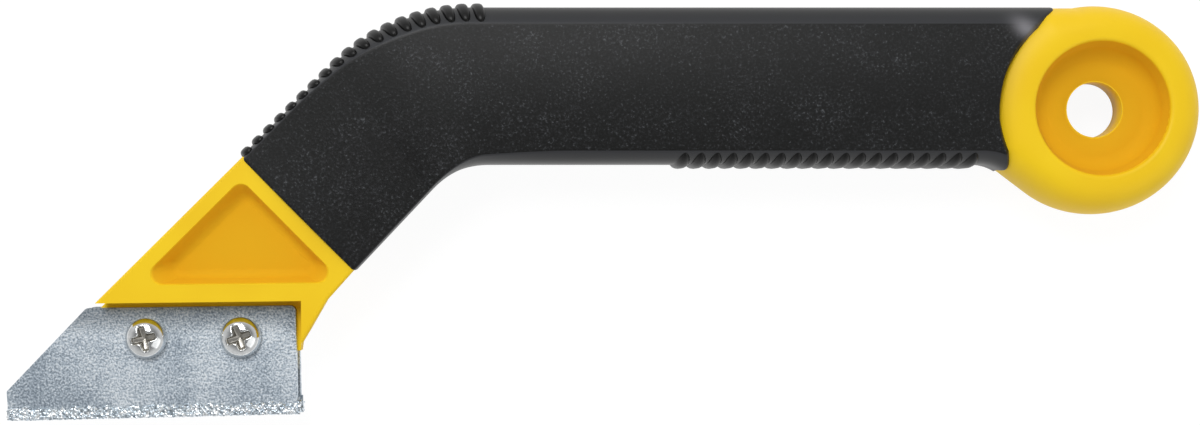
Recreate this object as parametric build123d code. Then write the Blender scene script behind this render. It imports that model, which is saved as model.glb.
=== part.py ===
from build123d import *

import os
from math import asin, cos, degrees, radians, sin, sqrt, tan

# Lengths are in millimetres and angles in degrees. The layout starts at the centre of the hanging
# ring: X runs along the handle towards the ring, Y up the handle's profile, Z through its thickness.

# Hanging ring at the end of the handle
ring_radius = 20.2
ring_half_thickness = 9.0
ring_rim_width = 0.9
dish_radius = 12.8
dish_draft = 0.7
dish_fillet_radius = 4.0
dish_web = 6.0
rim_bevel = 0.4
hanging_hole_radius = 5.35

# Grip: a flat-faced strip with crowned edges, bent towards the blades. Each edge is a wide crown
# arc that turns into the faces through a small knee. The neck widens a little towards the head.
grip_drop = 0.4
grip_width = 30.35
grip_half_thickness = 10.0
upper_crown = 3.2
lower_crown = 2.3
crown_knee_radius = 1.1
straight_reach = 135.8
inner_bend_radius = 15.0
outer_bend_radius = 38.0
inner_bend_offset = 0.5
neck_flare = 1.7
flare_slope = 37.0
flare_share = 0.33

# Where the rubber ends: a straight line at the head and a barrel-shaped wall round the ring
rubber_reach = 40.25
rubber_end_slope = 45.0
rubber_end_radius = 19.8
rubber_end_belly = 1.8
parting_gap = 0.1

# Core of the handle inside the rubber, and its neck beside the ring
rubber_side_wall = 3.2
rubber_face_wall = 4.0
core_root = 1.2
ring_neck_half_thickness = 5.5
ring_neck_length = 27.0

# Anti-slip ribs: bars that follow the crowns across both edges, leaning along the grip
rib_count = 19
rib_pitch = 3.06
rib_width = 2.6
rib_top_width = 1.2
rib_height = 0.8
rib_wall_height = 0.25
rib_root_depth = 1.0
rib_half_span = 9.2
rib_end_slope = 0.6
upper_rib_lean = 8.0
lower_rib_lean = 3.0
upper_rib_margin = 1.7
lower_rib_reach = 23.8

# Blade holder head, laid out from its toe, where the outer edge meets the seat
blade_tilt = 0.7
seat_angle = 44.1
head_inset = 0.66
head_overhang = 1.4
head_half_thickness = 6.5
head_draft = 7.0
head_edge_radius = 0.6
inner_edge_length = 8.0
inner_edge_taper = 3.4
shoulder_width = 5.0
shoulder_drop = 8.0
shoulder_tip_width = 0.3
shoulder_bend_radius = 3.0
blade_web = 2.5
web_drop = 13.0
web_margin = 1.3
web_tip_drop = 9.9

# Triangular recess in each face of the head
recess_edge_wall = 3.65
recess_neck_wall = 3.3
recess_seat_wall = 3.4
recess_corner_radius = 2.1
recess_depth = 3.6
recess_draft = 1.5
recess_floor_radius = 1.8

# Blades: flat steel plates with a slanted toe and carbide grit round the lower edge
blade_thickness = 1.2
blade_top_gap = 1.1
blade_side_gap = 1.8
blade_top_length = 40.5
blade_height = 20.8
blade_toe_drop = 0.65
blade_toe_height = 5.5
blade_toe_slant = 15.6
blade_heel_flare = 0.15
blade_corner_radius = 1.0
grit_height = 3.0
grit_thickness = 0.35

# Screws and nuts that clamp the blades
screw_drop = 7.0
heel_screw_inset = 12.35
screw_spacing = 18.3
screw_radius = 2.0
screw_length = 10.0
screw_head_radius = 4.0
screw_head_height = 3.0
screw_head_rim = 0.6
cross_length = 4.7
cross_width = 1.1
cross_depth = 1.7
hole_clearance = 0.3
thread_clearance = 0.05
nut_across_flats = 7.0
nut_height = 3.2
nut_chamfer = 0.45

# One overrun for everything that is cut
overrun = 4.0

bend_angle = seat_angle + blade_tilt
lower_bend_angle = bend_angle + neck_flare
upper_level = ring_radius - grip_drop
lower_level = upper_level - grip_width
flare_length = (lower_level + ring_radius * cos(radians(flare_slope))) / sin(radians(flare_slope))
flare_radius = flare_share * flare_length / tan(radians(flare_slope / 2))
elbow_depth = grip_width + head_overhang
elbow_reach = elbow_depth / sin(radians(seat_angle))
seat_length = elbow_reach - shoulder_width
head_length = elbow_depth / tan(radians(seat_angle)) + inner_edge_length
neck_reach = rubber_reach + head_length
blade_face_height = blade_web / 2 + blade_thickness
neck_way = Vector(-cos(radians(bend_angle)), -sin(radians(bend_angle)))
lower_neck_way = Vector(-cos(radians(lower_bend_angle)), -sin(radians(lower_bend_angle)))


def upper_corner(inset):
    """Corner of the line under the grip's upper edge."""
    return Vector(-straight_reach + inset * tan(radians(bend_angle / 2)), upper_level - inset)


def lower_corner(inset):
    """Corner of the line over the grip's lower edge."""
    reach = straight_reach - grip_width * tan(radians(bend_angle / 2)) + inner_bend_offset
    return Vector(-reach - inset * tan(radians(lower_bend_angle / 2)), lower_level + inset)


def upper_line(inset, reach):
    """Line under the grip's upper edge, from above the ring's centre down the neck."""
    corner = upper_corner(inset)
    return FilletPolyline(
        Vector(0, upper_level - inset),
        corner,
        corner + neck_way * reach,
        radius=outer_bend_radius - inset,
    )


def lower_line(inset, reach):
    """Line over the grip's lower edge, with the flare that meets the ring at a tangent."""
    slope = radians(flare_slope)
    radius = ring_radius - inset
    touch = Vector(-radius * sin(slope), -radius * cos(slope))
    corner = lower_corner(inset)
    flare_corner = Vector(-(radius + corner.Y * cos(slope)) / sin(slope), corner.Y)
    return FilletPolyline(
        touch,
        flare_corner,
        corner,
        corner + lower_neck_way * reach,
        radius=(flare_radius + inset, inner_bend_radius + inset),
    )


def strip_slab(upper_inset, lower_inset, half_thickness, reach):
    """Flat slab between the two edge lines."""
    upper = upper_line(upper_inset, reach)
    lower = lower_line(lower_inset, reach)
    neck_end = Line(upper @ 1, lower @ 1)
    ring_end = Line(upper @ 0, lower @ 0)
    outline = make_face(Wire([*upper.edges(), neck_end, *lower.edges(), ring_end]))
    return extrude(outline, amount=half_thickness, both=True)


def crown_radius(crown, half_thickness):
    """Radius of the crown arc that meets both knees at a tangent."""
    run = half_thickness - crown_knee_radius
    return (crown**2 + run**2 - crown_knee_radius**2) / (2 * (crown - crown_knee_radius))


def crown_section(crown, half_thickness):
    """Section of an edge beyond the flat slab: the crown arc between its two knees."""
    knee = crown_knee_radius
    run = half_thickness - knee
    radius = crown_radius(crown, half_thickness)
    half_angle = degrees(asin(run / (radius - knee)))
    arc = CenterArc((crown - radius, 0), radius, -half_angle, 2 * half_angle)
    front_knee = CenterArc((0, run), knee, half_angle, 90 - half_angle)
    back_knee = CenterArc((0, -run), knee, -90, 90 - half_angle)
    return make_face(Wire([back_knee, arc, front_knee, Line(front_knee @ 1, back_knee @ 0)]))


def crown_along(path, side, section):
    """The edge section along a line: straight on the straights, turned round the bends."""
    runs = []
    for run in path.edges():
        tangent = run % 0
        outward = Vector(tangent.Y, -tangent.X) * side
        start = Plane(origin=run @ 0, x_dir=outward, z_dir=tangent) * section
        if run.geom_type == GeomType.LINE:
            runs.append(extrude(start, amount=run.length))
        else:
            turn = (run @ 0 - run.arc_center).cross(tangent).Z
            axis = Axis(run.arc_center, (0, 0, turn))
            runs.append(revolve(start, axis=axis, revolution_arc=degrees(run.length / run.radius)))
    return runs


def crowned_strip(half_thickness, reach):
    """Strip with flat faces and a crown on both edges."""
    upper = upper_line(upper_crown, reach)
    lower = lower_line(lower_crown, reach)
    strip = strip_slab(upper_crown, lower_crown, half_thickness, reach)
    upper_section = crown_section(upper_crown, half_thickness)
    lower_section = crown_section(lower_crown, half_thickness)
    caps = crown_along(upper, 1, upper_section) + crown_along(lower, -1, lower_section)
    return strip.fuse(*caps)


def ring_barrel(gap):
    """Barrel round the ring's axis, where the rubber ends and the bare handle begins."""
    belly_radius = (grip_half_thickness**2 + rubber_end_belly**2) / (2 * rubber_end_belly)
    half_height = grip_half_thickness + overrun
    half_angle = degrees(asin(half_height / belly_radius))
    centre = rubber_end_radius + rubber_end_belly - belly_radius - gap
    wall = CenterArc((centre, 0), belly_radius, -half_angle, 2 * half_angle)
    ends = Polyline(wall @ 1, (0, half_height), (0, -half_height), wall @ 0)
    return revolve(Plane.XZ * make_face(Wire([wall, *ends.edges()])), axis=Axis.Z)


def rubber_end_plane():
    """Plane that parts the rubber from the head; its normal points at the head."""
    slope = radians(rubber_end_slope)
    edge_point = upper_corner(0) + neck_way * rubber_reach
    return Plane(origin=edge_point, x_dir=(0, 0, 1), z_dir=(-cos(slope), -sin(slope), 0))


def ring_body():
    """Disc with full rounded edges, before its dish and hole are cut."""
    flat_radius = dish_radius + ring_rim_width
    reach = ring_radius - flat_radius
    arc = EllipticalCenterArc((flat_radius, 0), reach, ring_half_thickness, -90, arc_size=180)
    closing = Polyline(arc @ 1, (0, ring_half_thickness), (0, -ring_half_thickness), arc @ 0)
    return revolve(Plane.XZ * make_face(Wire([arc, *closing.edges()])), axis=Axis.Z)


def dish_cutter():
    """Round dish with a drafted wall, a soft floor corner and a bevelled rim."""
    floor = dish_web / 2
    top = ring_half_thickness + overrun
    outline = FilletPolyline(
        (0, floor),
        (dish_radius - dish_draft, floor),
        (dish_radius, ring_half_thickness - rim_bevel),
        (dish_radius + rim_bevel, ring_half_thickness),
        (dish_radius + rim_bevel, top),
        (0, top),
        radius=(0, dish_fillet_radius, 0, 0, 0, 0),
        close=True,
    )
    return revolve(Plane.XZ * make_face(outline), axis=Axis.Z)


def rib_bar(crown):
    """Bar with sloping flanks and ends that follows a crown arc; the arc's centre is its origin."""
    level = crown_radius(crown, grip_half_thickness)
    half_angle = degrees(asin(rib_half_span / level))
    section = Polyline(
        (level - rib_root_depth, -rib_width / 2),
        (level + rib_wall_height, -rib_width / 2),
        (level + rib_height, -rib_top_width / 2),
        (level + rib_height, rib_top_width / 2),
        (level + rib_wall_height, rib_width / 2),
        (level - rib_root_depth, rib_width / 2),
        close=True,
    )
    bar = revolve(Plane.XZ * make_face(section), axis=Axis.Z, revolution_arc=2 * half_angle)
    bar = Rot(0, 0, -half_angle) * bar
    ends = bar.faces().sort_by(Axis.Y)
    top_edges = [end.edges().sort_by(Axis.X)[-1] for end in (ends[0], ends[-1])]
    return chamfer(top_edges, rib_end_slope)


def rib_place(point, outward, towards_ring, crown, lean):
    """Where a rib's bar goes: its front end leans along the edge towards the ring."""
    front = Vector(0, 0, cos(radians(lean))) + towards_ring * sin(radians(lean))
    centre = point - outward * crown_radius(crown, grip_half_thickness)
    return Plane(origin=centre, x_dir=outward, z_dir=outward.cross(front))


def grip_ribs():
    """Both rows of ribs: one round the bend down to the head, one under the grip by the ring."""
    ribs = []
    upper = upper_line(0, rubber_reach)
    upper_bar = rib_bar(upper_crown)
    for number in range(rib_count):
        way = upper.length - upper_rib_margin - number * rib_pitch
        back = upper.tangent_at(way, position_mode=PositionMode.LENGTH)
        point = upper.position_at(way, position_mode=PositionMode.LENGTH)
        outward = Vector(back.Y, -back.X)
        ribs.append(rib_place(point, outward, -back, upper_crown, upper_rib_lean) * upper_bar)
    lower_bar = rib_bar(lower_crown)
    for number in range(rib_count):
        point = Vector(-lower_rib_reach - number * rib_pitch, lower_level)
        outward = Vector(0, -1)
        along = Vector(1, 0)
        ribs.append(rib_place(point, outward, along, lower_crown, lower_rib_lean) * lower_bar)
    return ribs


def handle_core():
    """Core that the rubber is moulded round, from its root beside the ring to the head."""
    reach = rubber_reach + grip_width
    half_thickness = grip_half_thickness - rubber_face_wall
    slab = strip_slab(rubber_side_wall, rubber_side_wall, half_thickness, reach)
    slab = split(slab, bisect_by=rubber_end_plane(), keep=Keep.BOTTOM)
    return slab - ring_barrel(core_root)


def ring_neck():
    """Neck that fills the corners between the round ring and the straight handle."""
    strip = crowned_strip(ring_neck_half_thickness, rubber_reach)
    near = Pos(-ring_neck_length / 2, 0) * Box(ring_neck_length, 4 * ring_radius, 4 * ring_radius)
    return strip & near & ring_barrel(parting_gap)


def place_head(shape):
    """Move a shape from the head's own layout, which starts at its toe, to the tool's."""
    toe = upper_corner(0) + neck_way * neck_reach
    return Location((toe.X, toe.Y, 0), (0, 0, blade_tilt)) * shape


def head_point(along, across):
    """Point in the head's layout: along the outer edge from the toe, and across it inwards."""
    slope = radians(seat_angle)
    return Vector(
        along * cos(slope) + across * sin(slope),
        along * sin(slope) - across * cos(slope),
    )


def head_outline(height):
    """Head outline above the shoulder's tip at a height; its sides are drawn in below the front face."""
    drawn_in = (head_half_thickness - height) * tan(radians(head_draft))
    inwards = Vector(-drawn_in, 0)
    low = head_point(-overrun, head_inset + drawn_in)
    taper = (inner_edge_length + overrun) * tan(radians(inner_edge_taper))
    outline = FilletPolyline(
        low,
        head_point(head_length + overrun, head_inset + drawn_in),
        head_point(head_length + overrun, elbow_depth - taper) + inwards,
        Vector(elbow_reach, 0) + inwards,
        Vector(seat_length + shoulder_tip_width, -shoulder_drop) + inwards,
        Vector(low.X, -shoulder_drop),
        radius=(0, 0, 0, shoulder_bend_radius, 0, 0),
        close=True,
    )
    return Pos(0, 0, height) * make_face(outline)


def head_block():
    """Head down to the shoulder's tip, beyond the rubber's end, with rounded free edges."""
    ends = [head_outline(-head_half_thickness), head_outline(head_half_thickness)]
    block = loft(ends, ruled=True)
    rims = block.edges().filter_by(is_free_rim)
    return fillet(rims, head_edge_radius)


def is_free_rim(edge):
    """True for the long edges of both faces that stay free: not the rubber's end, not the seat."""
    middle = (edge @ 0 + edge @ 1) / 2
    drawn_in = (head_half_thickness - middle.Z) * tan(radians(head_draft))
    on_face = abs(abs(middle.Z) - head_half_thickness) < rim_bevel
    flat = abs((edge @ 0).Z - (edge @ 1).Z) < rim_bevel
    outer_edge = abs(head_across(middle) - head_inset - drawn_in) < rim_bevel
    past_seat = middle.X > seat_length + shoulder_tip_width / 2 - drawn_in
    inner_edge = past_seat and head_along(middle) < head_length + rim_bevel
    return on_face and flat and (outer_edge or inner_edge)


def head_along(point):
    """How far a point lies along the head's outer edge from the toe."""
    slope = radians(seat_angle)
    return point.X * cos(slope) + point.Y * sin(slope)


def head_across(point):
    """How far a point lies inwards from the head's outer edge."""
    slope = radians(seat_angle)
    return point.X * sin(slope) - point.Y * cos(slope)


def seat_cutter():
    """Space of the stepped seat, under the seat's wall and inside the shoulder."""
    size = 2 * grip_width
    return Pos(seat_length - size / 2, -size / 2) * Box(size, size, size)


def blade_points():
    """Corners of the blade's steel in the head's layout, from the top heel corner round."""
    heel = seat_length - blade_side_gap
    top = -blade_top_gap
    toe = heel - blade_top_length
    low = top - blade_height - blade_toe_drop
    return [
        Vector(heel, top),
        Vector(toe, top),
        Vector(toe - blade_toe_slant, low + blade_toe_height),
        Vector(toe - blade_toe_slant + grit_thickness, low),
        Vector(heel + blade_heel_flare, top - blade_height),
    ]


def blade_outline():
    """Flat outline of the blade's steel, with rounded corners."""
    large = blade_corner_radius
    small = grit_thickness
    corners = (large, large, small, small, large)
    return make_face(FilletPolyline(blade_points(), radius=corners, close=True))


def screw_places():
    """Centres of the toe and heel screws in the head's layout."""
    heel = Vector(seat_length - heel_screw_inset, -screw_drop)
    return [heel - Vector(screw_spacing, 0), heel]


def screw_holes():
    """Clearance holes through blades and web."""
    hole = Cylinder(screw_radius + hole_clearance, 4 * head_half_thickness)
    return [Pos(place.X, place.Y) * hole for place in screw_places()]


def blade_web_plate():
    """Thin web between the two blades, rooted in the head above and beside the seat."""
    inner_heel = seat_length - blade_side_gap - web_margin
    low = head_point(-web_drop / sin(radians(seat_angle)), web_margin)
    steepness = shoulder_drop / (shoulder_width - shoulder_tip_width)
    tip_reach = elbow_reach - web_tip_drop / steepness - shoulder_tip_width
    outline = Polyline(
        head_point(overrun, web_margin),
        Vector(seat_length + shoulder_tip_width, overrun / 2),
        Vector(seat_length + shoulder_tip_width, 0),
        Vector(tip_reach, -web_tip_drop),
        Vector(inner_heel, -web_tip_drop),
        Vector(inner_heel, -web_drop),
        Vector(low.X + web_margin, -web_drop),
        close=True,
    )
    return extrude(make_face(outline), amount=blade_web / 2, both=True)


def recess_points(inset):
    """Corners of the triangular recess, drawn in by an inset on all three sides."""
    slope = radians(seat_angle)
    edge = recess_edge_wall + inset
    neck = head_length - recess_neck_wall - inset
    level = recess_seat_wall + inset
    left = head_point((level + edge * cos(slope)) / sin(slope), edge)
    right = head_point(neck, (neck * sin(slope) - level) / cos(slope))
    return [left, right, head_point(neck, edge)]


def recess_outline(inset, height):
    """Rounded triangle at a height above the mid-plane."""
    triangle = FilletPolyline(recess_points(inset), radius=recess_corner_radius, close=True)
    return Pos(0, 0, height) * make_face(triangle)


def recess_cutter():
    """Recess of the front face: drafted walls that run into the floor in a soft corner."""
    floor = head_half_thickness - recess_depth
    flank = recess_draft / recess_depth
    top_inset = -overrun * flank
    bottom = recess_outline(recess_draft, floor)
    top = recess_outline(top_inset, head_half_thickness + overrun)
    walls = loft([bottom, top], ruled=True)
    floor_edges = walls.edges().group_by(Axis.Z)[0]
    return fillet(floor_edges, recess_floor_radius)


def handle_head():
    """Blade holder: block, recesses, stepped seat and web with its two holes."""
    head = head_block() - seat_cutter()
    recess = recess_cutter()
    head -= recess
    head -= mirror(recess, about=Plane.XY)
    head += blade_web_plate()
    for hole in screw_holes():
        head -= hole
    return place_head(head)


def handle_body():
    """The one yellow moulding: head, core and hanging ring."""
    head = split(handle_head(), bisect_by=rubber_end_plane(), keep=Keep.TOP)
    body = ring_body() + ring_neck()
    body += handle_core()
    body += head
    dish = dish_cutter()
    body -= dish
    body -= mirror(dish, about=Plane.XY)
    body -= Cylinder(hanging_hole_radius, 2 * ring_half_thickness)
    return body


def rubber_grip():
    """Rubber sleeve moulded round the core, with both rows of ribs."""
    reach = rubber_reach + grip_width
    grip = crowned_strip(grip_half_thickness, reach)
    grip = grip.fuse(*grip_ribs())
    grip -= ring_barrel(0)
    grip = split(grip, bisect_by=rubber_end_plane(), keep=Keep.BOTTOM)
    return grip - handle_core()


def front_blade():
    """Front blade, against the front face of the web."""
    plate = Pos(0, 0, blade_web / 2) * extrude(blade_outline(), amount=blade_thickness)
    for hole in screw_holes():
        plate -= hole
    return place_head(plate)


def front_grit():
    """Coat of carbide grit round the lower edge of the front blade."""
    steel = blade_outline()
    top = -blade_top_gap - blade_height + grit_height - grit_thickness
    length = 4 * blade_top_length
    band = Pos(0, top - length / 2) * Rectangle(length, length)
    coat = offset(steel, amount=grit_thickness) & band
    coat_solid = extrude(coat, amount=blade_thickness + 2 * grit_thickness)
    coat_solid = Pos(0, 0, blade_web / 2 - grit_thickness) * coat_solid
    plate = Pos(0, 0, blade_web / 2) * extrude(steel, amount=blade_thickness)
    return place_head(coat_solid - plate)


def blade_screw(place):
    """Pan head screw with a cross recess, seated on the front blade."""
    dome_height = screw_head_height - screw_head_rim
    arc = EllipticalCenterArc((0, screw_head_rim), screw_head_radius, dome_height, 0, arc_size=90)
    sides = Polyline(arc @ 1, (0, -screw_length), (screw_radius, -screw_length))
    flanks = Polyline((screw_radius, -screw_length), (screw_radius, 0), (screw_head_radius, 0), arc @ 0)
    profile = make_face(Wire([arc, *sides.edges(), *flanks.edges()]))
    screw = revolve(Plane.XZ * profile, axis=Axis.Z)
    slot_height = cross_depth + overrun
    slot_level = screw_head_height - cross_depth + slot_height / 2
    for angle in (0, 90):
        screw -= Pos(0, 0, slot_level) * Rot(0, 0, angle) * Box(cross_length, cross_width, slot_height)
    return place_head(Pos(place.X, place.Y, blade_face_height) * screw)


def blade_nut(place):
    """Hexagon nut on the rear blade, round the screw's end."""
    hexagon = extrude(RegularPolygon(nut_across_flats / 2, 6, major_radius=False), amount=nut_height)
    corner_radius = nut_across_flats / sqrt(3)
    blank = Pos(0, 0, nut_height / 2) * Cylinder(corner_radius, nut_height)
    blank = chamfer(blank.edges().group_by(Axis.Z)[0], nut_chamfer)
    nut = hexagon & blank
    nut -= Cylinder(screw_radius + thread_clearance, 4 * nut_height)
    return place_head(Pos(place.X, place.Y, -blade_face_height - nut_height) * nut)


def build_parts():
    """All sub-parts in the layout of the ring's centre, by node name."""
    toe, heel = screw_places()
    blade = front_blade()
    grit = front_grit()
    return {
        "handle_body": handle_body(),
        "rubber_grip": rubber_grip(),
        "front_blade": blade,
        "front_grit": grit,
        "rear_blade": mirror(blade, about=Plane.XY),
        "rear_grit": mirror(grit, about=Plane.XY),
        "toe_screw": blade_screw(toe),
        "heel_screw": blade_screw(heel),
        "toe_nut": blade_nut(toe),
        "heel_nut": blade_nut(heel),
    }


def resting_place(parts):
    """Shift that puts the origin under the middle of the tool lying on its back."""
    box = Compound(children=[Compound([*part.solids()]) for part in parts.values()]).bounding_box()
    centre = box.center()
    return Pos(-centre.X, -centre.Y, -box.min.Z)


def main():
    """Build every sub-part, lay the tool down and write one STEP file for each."""
    parts = build_parts()
    shift = resting_place(parts)
    os.makedirs("parts", exist_ok=True)
    for name, part in parts.items():
        placed = Compound([*(shift * part).solids()])
        placed.label = name
        export_step(placed, f"parts/{name}.step")
        print(name, len(placed.solids()), round(placed.volume, 2))


main()
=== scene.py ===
import math

import bpy
import numpy as np
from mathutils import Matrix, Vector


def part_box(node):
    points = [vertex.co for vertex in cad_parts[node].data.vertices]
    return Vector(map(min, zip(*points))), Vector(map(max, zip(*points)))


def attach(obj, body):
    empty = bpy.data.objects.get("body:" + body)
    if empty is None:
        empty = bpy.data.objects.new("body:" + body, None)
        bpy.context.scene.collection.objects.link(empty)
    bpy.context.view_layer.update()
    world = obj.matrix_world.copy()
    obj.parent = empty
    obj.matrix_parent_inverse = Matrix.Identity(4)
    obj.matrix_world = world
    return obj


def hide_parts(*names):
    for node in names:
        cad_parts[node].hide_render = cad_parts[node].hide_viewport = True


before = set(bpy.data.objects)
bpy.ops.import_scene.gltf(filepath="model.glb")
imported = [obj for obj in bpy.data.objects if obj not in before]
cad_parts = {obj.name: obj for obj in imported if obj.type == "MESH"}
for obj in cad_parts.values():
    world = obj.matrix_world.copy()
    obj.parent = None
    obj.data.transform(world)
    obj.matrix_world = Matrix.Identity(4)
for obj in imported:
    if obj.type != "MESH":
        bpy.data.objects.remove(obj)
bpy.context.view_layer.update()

# Sizes in millimetres, laid out like the solids: X runs along the handle towards the hanging ring,
# Y up the handle's profile, Z through its thickness, all from the ring's centre.
ring_radius = 20.2
upper_level = 19.8
grip_width = 30.35
lower_level = upper_level - grip_width
grip_half_thickness = 10.0
straight_reach = 135.8
outer_bend_radius = 38.0
inner_bend_radius = 15.0
inner_bend_offset = 0.5
bend_angle = math.radians(44.8)
lower_bend_angle = math.radians(46.5)
flare_slope = math.radians(37.0)
flare_share = 0.33
rubber_reach = 40.65
head_reach = 40.25
rubber_end_slope = math.radians(45.0)
barrel_radius = 19.8
barrel_belly = 1.8
rubber_wall = 3.0
crease_level = 9
neck_draft = 1.15
spare_length = 60.0
neck_run = 40.0

# Forms of the grip's section that fade round the bend: size on the straight grip, loss towards the
# head (below zero a gain), and how far past the bend's start and end the loss begins and ends
upper_crown_form = (3.7, 2.3, 12.0, 12.0)
lower_crown_form = (2.4, 1.7, -18.0, -8.0)
face_dome_form = (1.3, 0.8, -20.0, 0.0)
thinning_form = (0.0, -2.7, 10.0, 26.0)

# Rounded ends of the rubber, its mesh, and the painted highlight spot on its face: centre, half
# size and the cosine and sine of its turn
end_steps = np.array([0.0, 0.06, 0.14, 0.24, 0.36, 0.5])
end_rounding = 0.4
end_rounding_reach = 0.45
sleeve_rows = 440
sleeve_edge_count = 15
sleeve_face_count = 58
sheen_place = (-14.7, 15.2)
sheen_half_size = (2.6, 1.7)
sheen_turn = (0.8, 0.6)

# Ring: its surface lies a skin's thickness over the solid's dish
dish_radius = 12.8
dish_web = 6.0
dish_draft = 0.7
dish_corner_radius = 3.6
hole_radius = 5.35
hole_bevel = (0.25, 0.3)
rim_size = 0.9
rim_bluntness = 0.9
ring_level = 9.15
face_power = 2.7
face_root = 2.15
skin = 0.05
hidden_reach = 23.0
ring_columns = 288

# Ribs. A shape is half the width, how blunt the ends are, the power that rounds the section (1 is
# round), the lean along the edge, and the hook at both ends
rib_count = 19
upper_rib_shape = (1.16, 14, 0.62, 0.14, 0.55)
lower_rib_shape = (1.56, 5, 0.9, 0.07, 0.3)
rib_rows = 41
rib_columns = 20
rib_least_swell = 0.04
upper_rib_pitch = 3.03
lower_rib_pitch = 3.06
rib_height = 0.78
rib_sunk = 0.9
rib_reach_share = 0.985
upper_rib_margin = 0.5
lower_rib_reach = 25.0

# Head and its recess
recess_edge_wall = 3.65
recess_neck_wall = 3.3
recess_seat_wall = 3.4
recess_rim_drop = 0.5
head_half_thickness = 6.5
blade_tilt = math.radians(0.7)
seat_angle = math.radians(44.1)
elbow_depth = grip_width + 1.4
seat_length = elbow_depth / math.sin(seat_angle) - 5.0
head_length = elbow_depth / math.tan(seat_angle) + 8.0
neck_reach = head_reach + head_length

# Blades and the coat of grit round their lower edges
blade_side_gap = 1.8
blade_top_gap = 1.1
blade_top_length = 40.5
blade_height = 20.8
blade_toe_drop = 0.65
blade_toe_slant = 15.6
blade_heel_flare = 0.15
blade_half_web = 1.25
blade_thickness = 1.2
grit_coat = 0.35
grit_height = 3.0
grit_corner = 0.18
grit_toe_inset = 0.15
grit_heel_overlap = 0.3
grit_edge_lift = 0.03
grit_root = 0.25
grit_rows = 520
grit_columns = 76
grains_per_area = 9.0
grain_size = 0.3
braze_layer = 0.05
coat_margin = 0.06
border_count = 90
border_range = (-0.75, 0.2)
border_middle = 0.5
border_fade = 0.35
border_sink = 0.1

# Screws: the cross gets narrower along its arms and shallower away from the middle
screw_radius = 2.0
screw_length = 10.0
thread_pitch = 0.7
thread_depth = 0.4
screw_head_radius = 3.98
screw_head_bevel_radius = 3.9
screw_head_rim = 0.62
screw_dome_rise = 2.33
screw_dome_power = 2.3
screw_columns = 144
cross_reach = 2.3
cross_half_width = 0.74
cross_taper = 0.08
cross_depth = 2.0
cross_slope = 0.55
cross_middle_radius = 1.15
cross_middle_share = 0.6
pressed_depth = 0.9

# Camera: its place from the ring's centre, and the picture's width and how far the camera's axis
# lies over its middle, both in pixels
camera_place = (-95.49, -18.4, 325.0)
picture_width = 1200
axis_rise = 7.5

# Floor, in metres
floor_side = 4.0
floor_level = -0.0002

ring_low, ring_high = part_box("handle_body")
ring_centre = np.array([
    ring_high.x * 1000 - ring_radius,
    ring_high.y * 1000 - ring_radius,
    (ring_low.z + ring_high.z) * 500,
])


# Meshes

def in_frame(points):
    """Layout points in millimetres as frame points in metres."""
    return (points + ring_centre) / 1000


def build_mesh(name, points, faces, smooth=True):
    """One mesh object from an array of points and a list of face tables."""
    mesh = bpy.data.meshes.new(name)
    corners = [tuple(face) for table in faces for face in table.tolist()]
    mesh.from_pydata(points.tolist(), [], corners)
    mesh.polygons.foreach_set("use_smooth", [smooth] * len(mesh.polygons))
    mesh.update()
    made = bpy.data.objects.new(name, mesh)
    bpy.context.scene.collection.objects.link(made)
    return made


def grid_faces(rows, columns, wrap_columns=False, wrap_rows=False, offset=0):
    """Quads between neighbouring points of a grid whose point (i, j) has the index
    i * columns + j."""
    i = np.arange(rows if wrap_rows else rows - 1)
    j = np.arange(columns if wrap_columns else columns - 1)
    i, j = (table.ravel() for table in np.meshgrid(i, j, indexing="ij"))
    down, right = (i + 1) % rows, (j + 1) % columns
    corners = (i * columns + j, down * columns + j, down * columns + right, i * columns + right)
    return np.stack(corners, axis=1) + offset


def keep(made, body, slot, material, *nodes):
    """Gives a piece its body and its finish, and hides the nodes that it stands for; the slot is
    not used.
    """
    made.data.materials.append(material)
    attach(made, body)
    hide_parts(*nodes)
    return made


def give_values(made, name, *tables):
    """Stores a number at each point of a mesh under a name that its material reads."""
    values = np.concatenate([table.ravel() for table in tables]).astype(np.float32)
    made.data.attributes.new(name, "FLOAT", "POINT").data.foreach_set("value", values)


def along_line(way, start, heading, pieces):
    """Place and heading after a way along a line of straight and round pieces, each given as its
    length and how far it turns."""
    x, y = start[0] + 0 * way, start[1] + 0 * way
    heading = heading + 0 * way
    for length, turn in pieces:
        run = np.clip(way, 0, length)
        if turn:
            radius = length / turn
            x = x + radius * (np.sin(heading + run / radius) - np.sin(heading))
            y = y - radius * (np.cos(heading + run / radius) - np.cos(heading))
            heading = heading + run / radius
        else:
            x, y = x + run * np.cos(heading), y + run * np.sin(heading)
        way = way - length
    return np.stack((x, y), axis=-1), heading


upper_cut = outer_bend_radius * math.tan(bend_angle / 2)
lower_cut = inner_bend_radius * math.tan(lower_bend_angle / 2)
flare_length = (lower_level + ring_radius * math.cos(flare_slope)) / math.sin(flare_slope)
flare_cut = flare_share * flare_length
flare_radius = flare_cut / math.tan(flare_slope / 2)
flare_corner = (ring_radius + lower_level * math.cos(flare_slope)) / math.sin(flare_slope)
lower_corner = straight_reach - grip_width * math.tan(bend_angle / 2) + inner_bend_offset
upper_pieces = [
    (straight_reach - upper_cut, 0.0), (outer_bend_radius * bend_angle, bend_angle),
    (spare_length, 0.0),
]
lower_pieces = [
    (flare_length - flare_cut, 0.0), (flare_radius * flare_slope, flare_slope),
    (lower_corner - lower_cut - flare_corner - flare_cut, 0.0),
    (inner_bend_radius * lower_bend_angle, lower_bend_angle), (spare_length, 0.0),
]
bend_start = upper_pieces[0][0]
bend_end = bend_start + upper_pieces[1][0]


def upper_edge(way):
    """Place and outward direction on the grip's upper edge, from above the ring's centre."""
    place, heading = along_line(way, (0.0, upper_level), math.pi, upper_pieces)
    return place, np.stack((np.sin(heading), -np.cos(heading)), axis=-1)


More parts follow.
